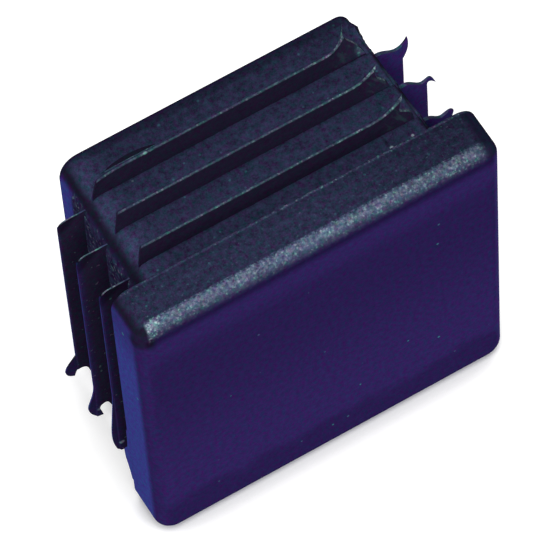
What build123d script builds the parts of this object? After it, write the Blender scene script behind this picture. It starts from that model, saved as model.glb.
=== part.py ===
"""Square push-in end cap for a 40 mm square tube, moulded in one piece.

A rounded square head closes the tube. Behind it a hollow, open-backed plug carries three rows of
thin flexible fins on each of its four sides. The mould parts along two opposite corners, and there
the fin ends are ragged: bitten away below and drawn out into little horns and curls.

Millimetres. The origin is the centre of the outer face, +Y runs back into the tube, +Z is up.
"""
from build123d import *
from collections import namedtuple
import os

# Head
head_side = 40.0          # outside of the square head, the same as the tube
head_thickness = 5.5      # outer face to the shoulder that seats on the tube end
head_corner = 2.1         # corner radius seen square on
face_rounding = 1.55      # rounding all round the outer face
shoulder_rounding = 0.25  # small rounding all round the shoulder

# Plug
plug_side = 32.9          # outside of the plug where it leaves the head
plug_corner = 2.8         # radius of the two smooth corners of the plug
parting_corner = 0.8      # radius of the two corners where the mould parts
plug_draft = 1.1          # degrees, narrowing towards the open end
plug_tail = 5.7           # from the front of the last fin row to the open end
end_rounding = 1.2        # lead-in rounding round the open end
wall = 2.0                # plug wall next to the head
cavity_corner = 0.9       # corner radius of the hollow
cavity_draft = 0.5        # degrees, widening towards the open end
face_wall = 3.2           # solid wall behind the outer face

# Fins
fin_inset = 0.6           # fin tips stay this far inside the outline of the head
ragged_end = 14.5         # middle of the side to the corner that the ragged ends start from
first_fin = 3.45          # shoulder to the front of the first row
fin_pitch = 4.37          # front of one row to the front of the next
root_thickness = 0.42
tip_thickness = 0.3
end_thickness = 0.12      # a fin thins to this at its clean end
tip_bevel = 0.12          # bevel along the front of each tip
fin_sink = 1.5            # how deep the fins run into the plug wall, to meet its round corners
curl_length = 3.6         # stretch over which the end of a fin bends
overhang = 2.4            # room for the ragged ends, past the fin's end and past its tip
clean_overhang = 0.1      # the same past the clean end

# A clean end is this far from the middle of the side. Its corner at the tip is round, and from
# the tip down to the foot it runs out by the flare.
Clean = namedtuple("Clean", "end corner flare")
upper_clean = Clean(end=14.6, corner=0.3, flare=0.55)
side_clean = Clean(end=14.9, corner=1.1, flare=0.0)

# A ragged end is drawn from the corner where the tip line would meet the end of the fin, as
# (along the fin, outward). The swell leaves the tip line and runs out to the horn's point, and
# the bite comes back from there down to the plug. The curl is how far the tip is bent back into
# the tube beyond this end, the lean the same at the clean end, and short how far the tip of the
# fin stays inside the others.
Ragged = namedtuple("Ragged", "swell horn bite curl lean short", defaults=(0.0, 0.0, 0.0))

# One end for each row, from the head back.
upper_ends = [
    Ragged(
        swell=[(-1.8, 0.0), (-0.4, 0.08)],
        horn=(0.5, 0.12),
        bite=[(-0.1, -0.5), (-0.35, -1.0), (0.3, -1.7), (1.0, -2.7)],
        curl=2.2,
    ),
    Ragged(
        swell=[(-1.8, 0.0), (-0.6, 0.08)],
        horn=(0.25, 0.12),
        bite=[(-0.25, -0.4), (-0.3, -1.0), (0.3, -1.9), (0.9, -2.8)],
        curl=2.2,
    ),
    Ragged(
        swell=[(-2.6, 0.0), (-1.3, 0.25)],
        horn=(-0.5, 0.7),
        bite=[(-0.85, -0.2), (-0.3, -1.2), (0.3, -2.0), (0.9, -3.0)],
        curl=5.0, lean=-0.5,
    ),
]
right_ends = [
    Ragged(
        swell=[(-2.2, 0.0), (-1.6, 0.4)],
        horn=(-0.75, 0.62),
        bite=[(-0.38, 0.0), (-0.68, -0.8), (0.0, -1.8), (0.3, -2.6)],
        curl=0.2,
    ),
    Ragged(
        swell=[(-1.9, 0.0), (-1.35, 0.25), (-1.7, 0.7)],
        horn=(-2.2, 1.0),
        bite=[(-1.35, 0.75), (-0.7, 0.25), (-0.95, -0.5), (-0.35, -1.45), (0.3, -2.3)],
        curl=0.2, short=-0.25,
    ),
    Ragged(
        swell=[(-2.8, 0.0), (-1.4, 0.6)],
        horn=(0.35, 0.64),
        bite=[(-0.4, 0.0), (-0.68, -0.7), (-0.15, -1.9), (0.2, -2.9)],
        curl=0.3, short=-0.15,
    ),
]
left_ends = [
    Ragged(
        swell=[(-9.0, 0.0), (-6.5, 0.17), (-3.5, 0.45), (-0.5, 0.56)],
        horn=(1.45, 0.25),
        bite=[(2.0, -0.45), (1.9, -1.1), (1.6, -2.4)],
    ),
    Ragged(
        swell=[(-4.4, 0.0), (-3.2, 0.08), (-1.6, 0.45), (-0.2, 0.76), (1.4, 0.5)],
        horn=(3.0, -0.6),
        bite=[(1.3, -0.52), (0.05, -0.62), (-0.15, -1.1), (0.5, -1.52), (1.4, -1.8)],
        curl=0.4,
    ),
    Ragged(
        swell=[(-3.4, 0.0), (-2.2, 0.85), (-1.2, 1.25), (-0.35, 1.15)],
        horn=(0.6, 0.3),
        bite=[(-0.4, 0.05), (-0.72, -0.2), (-0.68, -0.7), (0.55, -1.3), (1.4, -1.55)],
        curl=0.4, short=0.4,
    ),
]
plain_end = Ragged(
    swell=[(-upper_clean.corner, 0.0)],
    horn=(0.0, -upper_clean.corner),
    bite=[(0.0, -2 * upper_clean.corner)],
)
lower_ends = [plain_end] * len(upper_ends)

# Worked out from the sizes above
rows = len(upper_ends)
fin_tip = head_side / 2 - fin_inset
fin_root = plug_side / 2
fin_foot = fin_root - fin_sink
plug_length = first_fin + (rows - 1) * fin_pitch + plug_tail
cap_length = head_thickness + plug_length


def across(depth):
    """A plane across the cap that faces into the tube, this deep behind the outer face."""
    return Plane(origin=(0, depth, 0), x_dir=(1, 0, 0), z_dir=(0, 1, 0))


def make_head():
    """The square head, rounded all round its face and softened at its shoulder."""
    outline = RectangleRounded(head_side, head_side, head_corner)
    head = extrude(across(0) * outline, amount=head_thickness)
    head = fillet(head.faces().sort_by(Axis.Y)[0].edges(), face_rounding)
    return fillet(head.faces().sort_by(Axis.Y)[-1].edges(), shoulder_rounding)


def make_plug():
    """The solid plug before it is hollowed, drafted and rounded at its open end."""
    outline = Rectangle(plug_side, plug_side)
    parting = outline.vertices().filter_by(lambda corner: corner.X * corner.Y < 0)
    outline = fillet(parting, parting_corner)
    smooth = outline.vertices().filter_by(lambda corner: corner.X * corner.Y > 0)
    outline = fillet(smooth, plug_corner)
    plug = extrude(across(head_thickness) * outline, amount=plug_length, taper=plug_draft)
    return fillet(plug.faces().sort_by(Axis.Y)[-1].edges(), end_rounding)


def make_cavity():
    """The hollow, open at the back, with a closed floor behind the outer face."""
    side = plug_side - 2 * wall
    floor = across(face_wall) * RectangleRounded(side, side, cavity_corner)
    return extrude(floor, amount=cap_length - face_wall, taper=-cavity_draft)


def fin_plan(height, end, clean, thickness, setback=0.0):
    """Plan of a fin at one height: straight along the middle and bending back at its ends.

    The bend grows with the height above the plug, because only the free tip curls. The back of
    the fin comes forward towards the clean end, so that it thins there.
    """
    rise = max(0, height - fin_root) / (fin_tip - fin_root)
    reach = ragged_end + overhang
    bend = ragged_end - curl_length
    pull = ragged_end - curl_length / 4
    clean_reach = clean.end + clean.flare + clean_overhang

    def line_at(y, clean_y):
        """One long edge of the plan, from the clean end to the ragged one."""
        return [
            Bezier((-clean_reach, clean_y + rise * end.lean), (-pull, y), (-bend, y)),
            Line((-bend, y), (bend, y)),
            Bezier((bend, y), (pull, y), (reach, y + rise * end.curl)),
        ]

    front = line_at(setback, setback)
    back = line_at(thickness, setback + end_thickness)
    caps = [Line(front[-1] @ 1, back[-1] @ 1), Line(back[0] @ 0, front[0] @ 0)]
    return Plane.XY.offset(height) * make_face(front + back + caps)


def fin_outline(end, clean):
    """A fin seen along the tube: a clean end with a round corner and a ragged one."""
    tip = fin_tip - end.short

    def at(point):
        return (ragged_end + point[0], tip + point[1])

    horn = at(end.horn)
    swell = [at(point) for point in end.swell] + [horn]
    bite = [horn] + [at(point) for point in end.bite]
    foot = (bite[-1][0], fin_foot)
    clean_foot = (-clean.end - clean.flare, fin_foot)
    clean_tip = (-clean.end, tip)
    edges = [
        Line(clean_tip, swell[0]),
        Spline(*swell),
        Spline(*bite),
        Line(bite[-1], foot),
        Polyline(foot, clean_foot, clean_tip),
    ]
    outline = make_face(edges)
    corner = outline.vertices().sort_by_distance(clean_tip)[0]
    return Plane.XZ * fillet(corner, clean.corner)


def make_fin(end, clean):
    """One fin of the upper side, its front at y = 0 and its ragged end towards +X."""
    tip = fin_tip - end.short
    blade = loft([
        fin_plan(fin_foot, end, clean, root_thickness),
        fin_plan(fin_root, end, clean, root_thickness),
        fin_plan(tip - tip_bevel, end, clean, tip_thickness),
        fin_plan(tip, end, clean, tip_thickness, tip_bevel),
        fin_plan(tip + overhang, end, clean, tip_thickness, tip_bevel),
    ], ruled=True)
    depth = root_thickness + 2 * (end.curl + end.lean) + 1
    cutter = extrude(fin_outline(end, clean), amount=depth, both=True)
    return blade & cutter


def make_fins():
    """Every fin: the upper side's are mirrored across the mould's diagonals or turned over."""
    rising, falling = Plane(origin=(0, 0, 0), z_dir=(1, 0, -1)), Plane(origin=(0, 0, 0), z_dir=(1, 0, 1))
    fins = []
    for row in range(rows):
        place = Pos(0, head_thickness + first_fin + row * fin_pitch, 0)
        fins.append(place * make_fin(upper_ends[row], upper_clean))
        fins.append(place * Rot(0, 180, 0) * make_fin(lower_ends[row], upper_clean))
        fins.append(place * mirror(make_fin(right_ends[row], side_clean), about=rising))
        fins.append(place * mirror(make_fin(left_ends[row], side_clean), about=falling))
    return fins


def make_cap():
    """The whole moulding."""
    cap = make_head() + make_plug()
    for fin in make_fins():
        cap += fin
    return cap - make_cavity()


os.makedirs("parts", exist_ok=True)
export_step(make_cap(), "parts/tube_end_cap.step")
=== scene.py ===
from math import cos, pi, radians, sin, tan
from random import Random

import bmesh
import bpy
from mathutils import Matrix, Vector


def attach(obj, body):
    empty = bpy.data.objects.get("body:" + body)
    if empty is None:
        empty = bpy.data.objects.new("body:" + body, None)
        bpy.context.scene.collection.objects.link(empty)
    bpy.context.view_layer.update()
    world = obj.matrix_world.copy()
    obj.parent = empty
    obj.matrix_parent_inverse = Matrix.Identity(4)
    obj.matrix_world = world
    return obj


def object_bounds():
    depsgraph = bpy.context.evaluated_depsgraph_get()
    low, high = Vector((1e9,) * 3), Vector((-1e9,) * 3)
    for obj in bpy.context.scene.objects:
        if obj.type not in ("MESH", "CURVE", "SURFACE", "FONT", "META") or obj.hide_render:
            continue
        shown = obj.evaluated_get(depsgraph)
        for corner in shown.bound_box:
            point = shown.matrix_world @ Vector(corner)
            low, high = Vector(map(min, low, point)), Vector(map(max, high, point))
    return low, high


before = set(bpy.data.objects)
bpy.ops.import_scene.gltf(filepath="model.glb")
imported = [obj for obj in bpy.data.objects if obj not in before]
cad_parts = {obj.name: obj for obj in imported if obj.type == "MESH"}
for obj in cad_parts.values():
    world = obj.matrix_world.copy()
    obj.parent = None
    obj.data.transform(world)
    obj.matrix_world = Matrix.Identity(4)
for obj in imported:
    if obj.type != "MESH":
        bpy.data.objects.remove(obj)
cad_box = [list(corner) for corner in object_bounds()]

# ---- End cap -------------------------------------------------------------
# One injection moulding in black polyethylene: a thick square head with a
# softly rounded outer face, and behind it a hollow plug whose thin fins bend
# to grip the tube. The mould is spark eroded, which leaves a fine grain.

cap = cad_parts["tube_end_cap"]

millimetre = 0.001
face_violet = (0.0275, 0.0155, 0.096, 1)
edge_sheen_violet = (0.050, 0.036, 0.180, 1)
left_light_blue = (0.045, 0.054, 0.274, 1)
shade_black = (0.011, 0.010, 0.023, 1)
corner_shade = (0.0120, 0.0130, 0.034, 1)
fin_shadow = (0.0200, 0.0155, 0.040, 1)
end_shadow = (0.015, 0.0125, 0.042, 1)
wall_dust = (0.034, 0.040, 0.092, 1)
wall_dark = (0.017, 0.010, 0.040, 1)
dust_and_top_light = (0.022, 0.0255, 0.058, 1)
highlight_streak = (0.026, 0.036, 0.056, 1)
band_highlight = (0.046, 0.066, 0.130, 1)
glint = (0.34, 0.50, 0.52, 1)
tip_highlight = (0.026, 0.044, 0.072, 1)
lint = (0.05, 0.22, 0.25, 1)

# Lengths in millimetres, with depth counted from the outer face
first_fin = 8.95
fin_pitch = 4.37
recess_reach = 4.0        # how near a wall has to be to darken what it faces
grain_height = 0.03

# Patterns, in features per millimetre
grain_scale = 3.4
sparkle_scale = 2.5
pebble_scale = 3.0
mottle_scale = 2.1
tint_swing = 1.10         # how far the mottling leans to red and to green


class Wire:
    """One output of a shader node. Sums and products of wires add Math nodes."""

    def __init__(self, tree, socket=None):
        self.tree = tree
        self.socket = socket

    def add(self, kind, settings=None, sockets=None, out=0):
        """Makes a node, sets it up, fills or links its sockets and returns one output."""
        node = self.tree.nodes.new("ShaderNode" + kind)
        for name, value in (settings or {}).items():
            setattr(node, name, value)
        for name, value in (sockets or {}).items():
            if isinstance(value, Wire):
                self.tree.links.new(value.socket, node.inputs[name])
            else:
                node.inputs[name].default_value = value
        return Wire(self.tree, node.outputs[out] if node.outputs else None)

    def math(self, operation, first, second=0.0, clamp=False):
        return self.add("Math", {"operation": operation, "use_clamp": clamp}, {0: first, 1: second})

    def __add__(self, other):
        return self.math("ADD", self, other)

    def __mul__(self, other):
        return self.math("MULTIPLY", self, other)

    def __sub__(self, other):
        return self.math("SUBTRACT", self, other)

    def __rsub__(self, other):
        return self.math("SUBTRACT", other, self)

    def __neg__(self):
        return self.math("MULTIPLY", self, -1.0)

    __radd__ = __add__
    __rmul__ = __mul__

    def __or__(self, other):
        """The greater of the two."""
        return self.math("MAXIMUM", self, other)

    def output(self, name):
        """Another output of the same node."""
        return Wire(self.tree, self.socket.node.outputs[name])

    def parts(self):
        """The three numbers of a vector, each as a wire."""
        node = self.add("SeparateXYZ", None, {0: self})
        return [node.output(axis) for axis in "XYZ"]

    def between(self, low, high, start=0.0, end=1.0):
        """Smooth ramp from start, at low and below, to end, at high and above."""
        return self.add(
            "MapRange",
            {"interpolation_type": "SMOOTHSTEP"},
            {"Value": self, "From Min": low, "From Max": high, "To Min": start, "To Max": end},
        )

    def blend(self, first, second):
        """Colour that goes from first to second as this wire goes from 0 to 1."""
        return self.add("Mix", {"data_type": "RGBA"}, {"Factor": self, 6: first, 7: second}, out=2)


def new_material(name):
    material = bpy.data.materials.new(name)
    material.use_nodes = True
    material.node_tree.nodes.clear()
    return material, Wire(material.node_tree)


def moulded_plastic():
    material, tree = new_material("black_moulded_plastic")
    place = tree.add("TexCoord", out="Object")
    place = tree.add("VectorMath", {"operation": "SCALE"}, {0: place, "Scale": 1 / millimetre})
    across, deep, high = place.parts()
    right, back, up = tree.add("NewGeometry", out="Normal").parts()
    openness = tree.add(
        "AmbientOcclusion",
        {"samples": 8, "only_local": True},
        {"Distance": recess_reach * millimetre},
        out="AO",
    )

    def noise(per_millimetre, detail=2.0, roughness=0.5, where=place):
        sockets = {"Vector": where, "Scale": per_millimetre, "Detail": detail, "Roughness": roughness}
        return tree.add("TexNoise", None, sockets)

    def specks(per_millimetre, share, size):
        """Round specks, one in some of the cells of a Voronoi pattern."""
        cell = tree.add("TexVoronoi", None, {"Vector": place, "Scale": per_millimetre})
        distance = cell.output("Distance")
        chance = cell.output("Color").parts()[0]
        reach = size * per_millimetre
        return (1 - distance.between(reach * 0.6, reach)) * chance.between(1 - share, 1.001 - share)

    def spots(*middles_and_sizes):
        """Soft spots on the cap, each given as (x, y, z, size) in millimetres."""
        found = 0.0
        for *middle, size in middles_and_sizes:
            distance = tree.add(
                "VectorMath", {"operation": "DISTANCE"}, {0: place, 1: middle}, out="Value"
            )
            found = tree.math("MAXIMUM", 1 - distance.between(size * 0.4, size), found)
        return found

    grain = noise(grain_scale, 2.0, 0.6)
    sparkle = noise(sparkle_scale, 3.0, 0.75)

    # Where on the cap a point lies
    on_plug = deep.between(6.2, 6.6)
    on_head = 1 - on_plug
    past_plug = across.between(16.3, 17.0)
    left_of_plug = (-across).between(16.5, 17.0)
    above_plug = high.between(16.4, 16.8)
    plug_end = deep.between(19.6, 20.4)
    corner_end = across.between(11.0, 13.5) * above_plug
    past_fin = (deep - first_fin) * (1 / fin_pitch)
    past_fin = tree.math("FRACT", tree.math("MINIMUM", past_fin, 2.98))  # 0 at a fin, 1 at the next

    # Which way the surface faces there
    sideways = tree.math("ABSOLUTE", right)
    level = (up + right * 0.3).between(0.40, 0.84) * (1 - right.between(0.05, 0.50))
    level = level * (1 - back.between(0.10, 0.55)) * (1 - back.between(0.05, 0.22) * above_plug)
    level = level * (1 - (-right).between(0.25, 0.45) * (-back).between(0.10, 0.30))
    level = level | deep.between(5.05, 5.25) * high.between(19.55, 19.7) * on_head
    leftward = (-right).between(0.84, 1.0)
    facing_out = (-back).between(0.05, 0.18) | right.between(0.25, 0.45)
    # The band along the head's rounded top edge, where a painted highlight goes
    band = (grain * 0.4 - back).between(0.22, 0.40) * up.between(0.0, 1.1)
    band = band * (1 - sideways.between(0.28, 0.42))
    band = band * on_head * (1 - across.between(17.7, 18.7))
    band_end = (1 - across.between(-17.9, -16.9)) * band
    bevelled = up.between(0.50, 0.62) * (1 - up.between(0.86, 0.95))
    fin_tip = facing_out * (bevelled | high.between(19.12, 19.24)) * on_plug * above_plug
    side_fin_top = (left_of_plug + past_plug) * up.between(0.55, 0.80) * on_plug
    shoulder_line = deep.between(5.04, 5.22) * high.between(19.6, 19.8) * on_head
    on_face = (-back).between(0.80, 0.98) * (1 - deep.between(0.0, 1.6))
    left_wall = leftward * on_plug * (1 - left_of_plug) * (-across).between(15.0, 15.4)
    left_fins = (-back).between(0.6, 0.9) * left_of_plug * on_plug

    # Bare faces: violet in front, painted light in blue at the left, and painted shade, nearly black,
    # in the recesses
    # Painted shade: the plug's faces are dark fin_shadow in its recesses, on the top fins and on the
    # left fins, and violet only where open
    exposed = openness.between(0.72, 1.0) * (1 - above_plug) * (1 - left_of_plug)
    exposed = exposed | past_plug | (-across).between(18.6, 19.3, 0.0, 0.5)
    plug_bare = exposed.blend(fin_shadow, face_violet)
    # Painted highlight: streaks of light on the curled right ends of the top fins
    smear_place = tree.add(
        "Mapping",
        {"vector_type": "TEXTURE"},
        {"Vector": place, "Rotation": (0.0, radians(59), 0.0), "Scale": (1.9, 1.6, 0.38)},
    )
    smears = noise(0.8, 2.0, 0.5, smear_place).between(0.50, 0.66)
    plug_bare = (corner_end * smears).blend(plug_bare, highlight_streak)
    bare = on_plug.blend(face_violet, plug_bare)
    blue_plug = left_of_plug * 0.6 + left_wall * plug_end
    # Painted light: the head's left side, the left fins and the plug's left back end are tinted blue
    # as if lit from the left
    blue = leftward * deep.between(0.9, 1.9) * high.between(10.0, 20.0, 1.0, 0.4)
    bare = (blue * (on_head + on_plug * blue_plug)).blend(bare, left_light_blue)
    # Patches of dust and darker plastic on the plug's left wall, darker towards the bottom
    wall_before_end = left_wall * (1 - plug_end)
    wall_patches = noise(1.3, 3.0, 0.6).between(0.34, 0.66) * high.between(-4.0, 10.0, 0.35, 1.0)
    bare = wall_before_end.blend(bare, wall_patches.blend(wall_dark, wall_dust))
    # Painted shade, nearly black: what faces partly or fully up where no dust is laid, the head's
    # recesses, and under its top left corner
    shaded = (1 - openness.between(0.45, 0.85)) * on_head
    under_corner = (-across).between(17.9, 18.7) * high.between(16.6, 18.2)
    under_corner = under_corner * (1 - deep.between(1.2, 2.6))
    bare = (up.between(0.30, 0.62) | shaded | (under_corner * 0.85)).blend(bare, shade_black)
    # Painted shade on the head's top right corner
    right_corner = right.between(0.05, 0.30) * up.between(0.10, 0.40) * on_head
    bare = right_corner.blend(bare, corner_shade)
    # Painted shade on faces that turn away backwards
    turned = back.between(0.15, 0.45) * (1 - back.between(0.50, 0.80)) * (1 - above_plug)
    bare = turned.blend(bare, end_shadow)
    # Painted sheen: the head's rounded lower and right edges turn a lighter violet
    turned_edge = ((-up) | right).between(0.20, 0.90) * (1 - deep.between(1.2, 1.6))
    turned_edge = turned_edge * (1 - up.between(0.02, 0.25))
    bare = turned_edge.blend(bare, edge_sheen_violet)

    # What faces up gets dust and the paler light from above, both painted; painted highlights and
    # glints go where light catches what is rounded or bevelled
    colour = level.blend(bare, dust_and_top_light)
    colour = band.blend(colour, band_highlight)
    # Painted glints in that highlight, brightest at its left end
    pebbles = tree.add("TexVoronoi", None, {"Vector": place, "Scale": pebble_scale})
    pebbles = pebbles.between(0.14, 0.62, 1.0, 0.2)
    dots = sparkle.between(0.44, 0.64) * pebbles
    bright_dots = sparkle.between(0.38, 0.54) * pebbles
    sparkling = dots * across.between(10.0, 17.0, 0.50, 0.72)
    colour = (band * sparkling + band_end * bright_dots * 0.95).blend(colour, glint)
    # Painted highlights along the fins' tips and tops and on the crest of the parting ridge, with
    # painted glints there and along the head's shoulder
    crest = right.between(0.30, 0.50) * up.between(0.50, 0.62) * across.between(15.2, 15.5)
    crest = crest * (1 - above_plug) * deep.between(8.9, 9.1) * (1 - past_fin.between(0.35, 0.60))
    highlighted = fin_tip | side_fin_top * (1 - past_plug * 0.5) | (crest * 0.7)
    colour = highlighted.blend(colour, tip_highlight)
    right_tip = across.between(6.0, 12.0) * high.between(18.3, 18.9)
    tip_dots = fin_tip * (dots * 0.30 + right_tip * bright_dots * 0.34)
    tip_dots = tip_dots + side_fin_top * left_of_plug * bright_dots * 0.40
    line_dots = shoulder_line * dots * across.between(-14.0, 4.0, 0.10, 0.30)
    colour = (tip_dots + line_dots).blend(colour, glint)
    # Painted glints: flecks on the plug's left wall and left fins, and spots on the fins, the plug's
    # top and the hooks
    flecks = noise(2.2, 1.0, 0.4)
    fleck_glints = flecks.between(0.61, 0.69) * wall_before_end * high.between(2.0, 12.0) * 0.24
    fleck_glints = fleck_glints + flecks.between(0.70, 0.76) * left_fins * 0.12
    glint_spots = spots(
        (-9.0, 17.6, 19.4, 0.36), (-9.6, 17.5, 16.8, 0.22), (-10.8, 17.4, 16.4, 0.24),
        (12.0, 7.3, 16.4, 0.26), (14.4, 7.4, 16.4, 0.22), (-12.6, 13.6, 15.6, 0.30),
        (-19.1, 13.3, -15.3, 0.42), (-19.1, 8.95, -14.9, 0.36),
    )
    colour = (fleck_glints + glint_spots * 0.45).blend(colour, glint)
    nick = across.between(11.60, 11.74) * (1 - across.between(11.88, 12.0)) * (1 - above_plug)
    nick = nick * deep.between(7.4, 7.6) * (1 - deep.between(8.7, 8.9))
    # The small nick is drawn in the painted shade colour
    colour = (nick * 0.5).blend(colour, shade_black)
    motes = specks(1.1, 0.30, 0.16) * level * 0.22 + specks(0.55, 0.28, 0.16) * on_face * 0.8
    motes = motes | spots((-20.0, 3.3, 16.5, 0.26)) | spots((-20.0, 1.8, 6.1, 0.22)) * 0.7
    colour = motes.blend(colour, lint)

    # Painted light and shade: how light or dark each stretch is
    # Painted on the face: dark just under the top edge, a lighter strip below it, lighter towards the
    # bottom and a dark wavy foot
    strip = high.between(16.9, 18.4, 1.0, 0.38) + high.between(12.5, 16.0, 0.0, 0.28)
    wavy = high + (noise(0.16, 3.0) - 0.5) * 6.0
    foot = 1 - wavy.between(-16.0, -13.5)
    sheen = high.between(-12.0, 10.0, 1.14, 0.81) * strip - foot * 0.30
    # Painted shade on the head's top: darker to the right and towards the shoulder, with a lighter
    # line along it
    on_top = high.between(19.5, 19.9) * on_head
    fading = across.between(0.0, 18.0, 1.0, 0.68) * deep.between(3.6, 4.8, 1.0, 0.84)
    fading = fading + shoulder_line * 0.4
    # Painted shade on the plug's top: lighter just behind each fin, darker towards the next fin and
    # towards the back
    between_fins = past_fin.between(0.50, 0.80, 1.38, 1.02) * past_fin.between(0.90, 1.0, 1.0, 0.8)
    between_fins = between_fins - deep.between(17.8, 18.6, 0.0, 0.10)
    between_fins = between_fins - deep.between(21.4, 22.3, 0.0, 0.16)
    plug_top = level * on_plug * (1 - above_plug)
    # Lighter towards the fins' left ends, dust and painted light together, and painted shade on the
    # plug's top left corner
    left_end = (-across).between(11.5, 15.0, 0.0, 0.50)
    plug_corner = (high - across).between(31.0, 32.4) * on_plug * (1 - above_plug)
    tone = on_face * (sheen - 1) + on_top * (fading - 1) + plug_top * (between_fins + left_end - 1)
    # The blades past the plug on the right are painted lighter
    tone = (tone + past_plug * on_plug * 0.4 + 1) * (1 - plug_corner * 0.45)

    # Fine mottling, in tint between red and green, and in lightness
    tint = noise(mottle_scale, 3.0, 0.8).between(0.0, 1.0, -tint_swing, tint_swing)
    tint = tint * (1 - (level | above_plug | band) * 0.2 - band * 0.15)
    lightness = (noise(1.5, 4.0, 0.95) - 0.5) * ((level | band) * 1.9 + 1.2) + 1
    mottling = tree.add("CombineXYZ", None, {0: lightness + tint, 1: lightness - tint, 2: lightness})
    colour = tree.add("VectorMath", {"operation": "MULTIPLY"}, {0: colour, 1: mottling})
    colour = tree.add("VectorMath", {"operation": "SCALE"}, {0: colour, "Scale": tone})

    coat = (band + fin_tip * 0.3) * grain.between(0.34, 0.72, 0.05, 0.9)
    relief = tree.add(
        "Bump",
        None,
        {"Strength": 0.25, "Distance": grain_height * millimetre, "Height": grain},
        out="Normal",
    )
    shader = tree.add(
        "BsdfPrincipled",
        None,
        {
            "Base Color": colour,
            "Roughness": 0.6,
            "Specular IOR Level": 0.0,
            "Coat Weight": coat,
            "Coat Roughness": 0.25,
            "Coat IOR": 1.5,
            "Normal": relief,
        },
    )
    tree.add("OutputMaterial", None, {"Surface": shader})
    return material


black_plastic = moulded_plastic()
cap.data.materials[0] = black_plastic

# ---- Mould flash ---------------------------------------------------------
# Thin plastic that crept between the halves of the mould and was never
# trimmed: a ridge along the parting corner of the plug, a flap on the shoulder
# above the lower left corner and a burr folded over the tip of the last fin.
# The burr faces back and up, so painted shade makes it nearly black, a dark crescent behind that tip.

plug_half = 16.45         # half the plug's side at the shoulder
plug_draft = radians(1.1)
shoulder_depth = 5.5
head_half = 20.0


def mesh_piece(name, rings):
    """A closed mesh of quads through rings of points, in millimetres, that rides with the cap."""
    mesh = bpy.data.meshes.new(name)
    body = bmesh.new()
    corners = [[body.verts.new(Vector(point) * millimetre) for point in ring] for ring in rings]
    sides = range(len(rings[0]))
    for here, there in zip(corners, corners[1:]):
        for side in sides:
            body.faces.new((here[side - 1], here[side], there[side], there[side - 1]))
    body.faces.new(corners[0])
    body.faces.new(corners[-1])
    bmesh.ops.recalc_face_normals(body, faces=body.faces)
    body.to_mesh(mesh)
    body.free()
    mesh.materials.append(black_plastic)
    piece = bpy.data.objects.new(name, mesh)
    bpy.context.scene.collection.objects.link(piece)
    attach(piece, "root")


def along(stations, place):
    """The value at a place along stations of (place, value), by straight lines."""
    for (start, low), (end, high) in zip(stations, stations[1:]):
        if place <= end:
            return low + (high - low) * (place - start) / (end - start)
    return stations[-1][1]


chance = Random(7)
ridge_height = [
    (6.0, 0.04), (7.6, 0.08), (8.9, 0.26), (9.8, 0.22), (10.6, 0.06), (12.6, 0.08), (13.3, 0.30),
    (14.4, 0.24), (15.2, 0.06), (17.0, 0.08), (17.6, 0.26), (18.6, 0.20), (19.5, 0.33),
    (20.4, 0.40), (20.75, 0.60), (21.3, 0.44), (21.9, 0.20), (22.3, 0.05),
]
ridge_step = 0.24
ridge_sides = 6
ridge_turn = pi / 12
ridge_sink = 0.28         # how far inside the corner's point the ridge runs
ridge_roughness = (0.82, 1.12)
ridge_rings = []
depth = ridge_height[0][0]
while depth <= ridge_height[-1][0]:
    radius = along(ridge_height, depth) * chance.uniform(*ridge_roughness)
    corner = plug_half - ridge_sink - (depth - shoulder_depth) * tan(plug_draft)
    turns = [2 * pi * side / ridge_sides + ridge_turn for side in range(ridge_sides)]
    ridge_rings.append([(corner + radius * cos(a), depth, corner + radius * sin(a)) for a in turns])
    depth += ridge_step
mesh_piece("parting_ridge", ridge_rings)

flap_width = [
    (-6.0, 0.02), (-8.5, 0.10), (-9.9, 0.24), (-10.6, 0.62), (-11.6, 1.06), (-12.4, 1.04),
    (-13.2, 0.92), (-14.0, 0.62), (-15.0, 0.30), (-16.2, 0.02),
]
flap_thickness = 0.18
flap_sink = 0.3           # how deep the flap is rooted in the head
flap_root = shoulder_depth - flap_sink
outer, inner = -head_half, flap_thickness - head_half
flap_rings = []
for height, width in flap_width:
    reach = shoulder_depth + width
    flap_rings.append([
        (outer, flap_root, height), (outer, reach, height),
        (inner, reach, height), (inner, flap_root, height),
    ])
mesh_piece("shoulder_flap", flap_rings)

burr_start, burr_end = -13.3, -7.6
burr_reach, burr_drop = 0.62, 0.24
burr_steps = 16
burr_roundness = 0.7      # 1 is a sine arch, and less is blunter
burr_foot = 19.30
burr_crest = 19.42
burr_swell = 0.06
burr_sink = 0.08
burr_setback = 0.05       # of the underside of its edge
burr_thickness = 0.06
fin_tip_thickness = 0.30
last_tip = first_fin + 2 * fin_pitch + fin_tip_thickness
burr_rings = []
for step in range(burr_steps + 1):
    share = step / burr_steps
    x = burr_start + (burr_end - burr_start) * share
    swell = sin(pi * share) ** burr_roundness
    edge = last_tip + burr_reach * swell
    crest = burr_crest + burr_swell * swell
    fall = crest - burr_drop * swell
    burr_rings.append([
        (x, last_tip - burr_sink, burr_foot),
        (x, last_tip, crest),
        (x, edge, fall),
        (x, edge - burr_setback, fall - burr_thickness),
    ])
mesh_piece("fin_burr", burr_rings)

# ---- Floor ---------------------------------------------------------------
# A wide sheet of white paper that the cap stands on. It glows, so that it
# shows as plain white, and its glow is turned down near the cap: a painted shadow.

cap_underside = cad_box[0][2]
floor_side = 6.0          # metres
floor_white = (0.80, 0.80, 0.80, 1)
paper_glow = (0.60, 0.60, 0.60, 1)
unlit = (0.0, 0.0, 0.0, 1)
shadow_reach = 6.0 * millimetre
shadow_samples = 16


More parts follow.
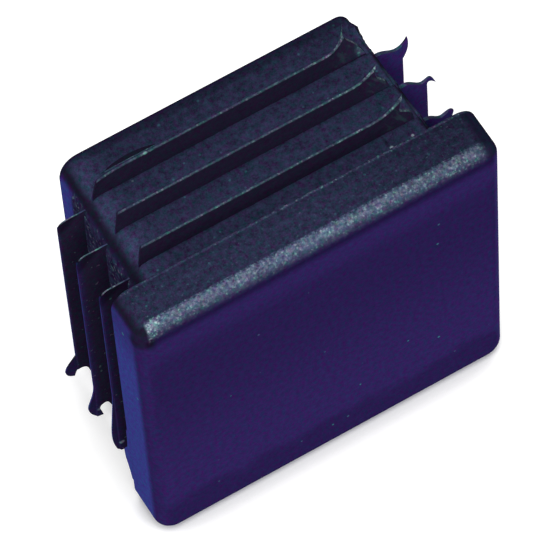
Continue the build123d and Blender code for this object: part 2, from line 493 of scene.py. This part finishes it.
def plainly_seen(tree):
    """1 for what the camera sees, straight or by way of the cap, and 0 for light on the cap."""
    ray = tree.add("LightPath", out="Is Camera Ray")
    reflected = ray.output("Is Glossy Ray")
    through = ray.output("Is Transmission Ray")
    return ray.math("ADD", ray + reflected, through, clamp=True)


def pale_paper():
    material, tree = new_material("white_paper")
    seen = plainly_seen(tree)
    sheet = tree.add("BsdfDiffuse", None, {"Color": floor_white})
    across, deep = tree.add("TexCoord", out="Object").parts()[:2]

    def openness(reach):
        """1 in the open, and less where something stands within the reach."""
        return tree.add("AmbientOcclusion", {"samples": shadow_samples}, {"Distance": reach}, out="AO")

    # Painted shadow: stronger beside the left fins, and weaker to the right of the head
    beside_fins = (-across).between(17.0 * millimetre, 18.5 * millimetre)
    beside_fins = beside_fins * deep.between(0.0, 6.0 * millimetre)
    right_of_head = across.between(19.0 * millimetre, 21.0 * millimetre)
    near_shade = (1 - openness(shadow_reach).between(0.42, 0.88)) * (1 - right_of_head * 0.7)
    far_shade = (1 - openness(3 * shadow_reach).between(0.58, 0.70)) * beside_fins * 0.42
    lit = 1 - (near_shade | far_shade)
    glow = tree.add("Emission", None, {"Color": (seen * lit).blend(unlit, paper_glow)})
    shader = tree.add("AddShader", None, {0: sheet, 1: glow})
    tree.add("OutputMaterial", None, {"Surface": shader})
    return material


bpy.ops.mesh.primitive_plane_add(size=floor_side, location=(0, 0, cap_underside))
floor = bpy.context.object
floor.name = "floor"
floor.data.materials.append(pale_paper())

# ---- Light ---------------------------------------------------------------
# A large softbox above and in front of the cap, a small lamp further to the
# left that makes the grain of the rounded edge glint, and a pale room around.

lamp_distance = 0.60      # metres, from the middle of the outer face
room_glow = 0.20


def square_lamp(name, side, watts, towards_lamp):
    """A square lamp that faces the cap, with its side in metres."""
    light = bpy.data.lights.new(name, "AREA")
    light.shape = "SQUARE"
    light.size = side
    light.energy = watts
    lamp = bpy.data.objects.new(name, light)
    lamp.location = towards_lamp.normalized() * lamp_distance
    lamp.rotation_euler = towards_lamp.to_track_quat("Z", "Y").to_euler()
    bpy.context.scene.collection.objects.link(lamp)


square_lamp("softbox", side=0.80, watts=5.0, towards_lamp=Vector((-0.15, -0.44, 0.90)))
square_lamp("lamp", side=0.14, watts=0.5, towards_lamp=Vector((-0.47, -0.25, 0.85)))

world = bpy.data.worlds.new("room")
world.use_nodes = True
world.node_tree.nodes.clear()
room = Wire(world.node_tree)
sky = room.add("Background", None, {"Strength": plainly_seen(room) * (1 - room_glow) + room_glow})
room.add("OutputWorld", None, {"Surface": sky})
bpy.context.scene.world = world

# ---- Camera --------------------------------------------------------------
# A long lens above the cap's left front, rolled a little clockwise. Lengths
# are in metres, but the lens and the film are in millimetres.

camera_turn = radians(-26.7985)
camera_height = radians(60.2498)
camera_roll = radians(-4.612)
camera_distance = 0.576322
camera_aim = Vector((0.000341, 0.010049, -0.002323))
camera_lens = 378.39
film_width = 36.0

towards = Matrix.Rotation(camera_turn, 3, "Z") @ Matrix.Rotation(radians(90) - camera_height, 3, "X")
camera_data = bpy.data.cameras.new("camera")
camera_data.lens = camera_lens
camera_data.sensor_width = film_width
camera_data.clip_start = 0.01
camera_data.clip_end = 20.0
camera = bpy.data.objects.new("camera", camera_data)
pose = towards @ Matrix.Rotation(camera_roll, 3, "Z")
camera.location = camera_aim + pose @ Vector((0, 0, camera_distance))
camera.rotation_euler = pose.to_euler()
bpy.context.scene.collection.objects.link(camera)
bpy.context.scene.camera = camera
bpy.context.scene.view_settings.view_transform = "Standard"
